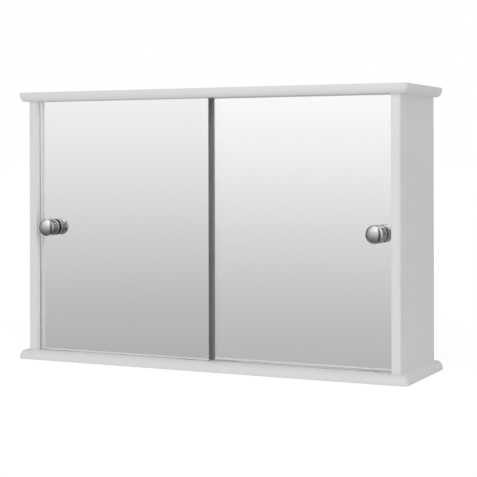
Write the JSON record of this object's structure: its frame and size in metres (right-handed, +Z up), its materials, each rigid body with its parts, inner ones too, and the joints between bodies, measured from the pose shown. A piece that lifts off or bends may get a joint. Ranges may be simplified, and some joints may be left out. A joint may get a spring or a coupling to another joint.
{
  "type": "wall cabinet with sliding mirror doors",
  "caption": "White wall cabinet for a bathroom with moulded top and base boards, sliding mirror doors that overlap in the middle, turned chrome knobs and an adjustable shelf.",
  "frame": {"origin": "on the wall plane, in the middle of the cabinet's width, at the height of its underside", "axes": "+X to the right as one faces the doors, +Y into the wall, +Z up"},
  "size_m": [0.558, 0.1492, 0.365],
  "materials": {
    "white_board": "satin white paint on fibreboard",
    "hardboard": "white-faced hardboard",
    "white_plastic": "moulded, satin",
    "nylon": "moulded, natural",
    "mirror_glass": "clear float glass, ground edges",
    "silvering": "silvered, with a grey safety film behind",
    "chrome": "polished",
    "black_rubber": "matt",
    "zinc": "die-cast, satin",
    "steel": "zinc plated",
    "beech": "raw, fluted dowel"
  },
  "bodies": {
    "carcass": {"top_board": "white_board", "base_board": "white_board", "side_panel_left": "white_board", "side_panel_right": "white_board", "back_panel": "hardboard", "hanging_rail": "white_board", "shelf": "white_board", "shelf_pegs": "zinc", "upper_track": "white_plastic", "lower_track": "white_plastic", "dowels": "beech", "cam_bolts": "zinc", "cam_locks": "zinc", "cam_caps": "white_plastic", "back_pins": "steel"},
    "door_left": {"mirror_left": "mirror_glass", "silvering_left": "silvering", "glides_left": "nylon", "knob_left": "chrome", "knob_gasket_left": "black_rubber", "knob_bush_left": "nylon", "knob_washer_left": "black_rubber", "knob_screw_left": "steel"},
    "door_right": {"mirror_right": "mirror_glass", "silvering_right": "silvering", "glides_right": "nylon", "knob_right": "chrome", "knob_gasket_right": "black_rubber", "knob_bush_right": "nylon", "knob_washer_right": "black_rubber", "knob_screw_right": "steel"}
  },
  "joints": [
    {"name": "door_left_slide", "type": "slide", "parent": "carcass", "child": "door_left", "axis": [1, 0, 0], "range_m": [0, 0.109]},
    {"name": "door_right_slide", "type": "slide", "parent": "carcass", "child": "door_right", "axis": [-1, 0, 0], "range_m": [0, 0.109]}
  ]
}
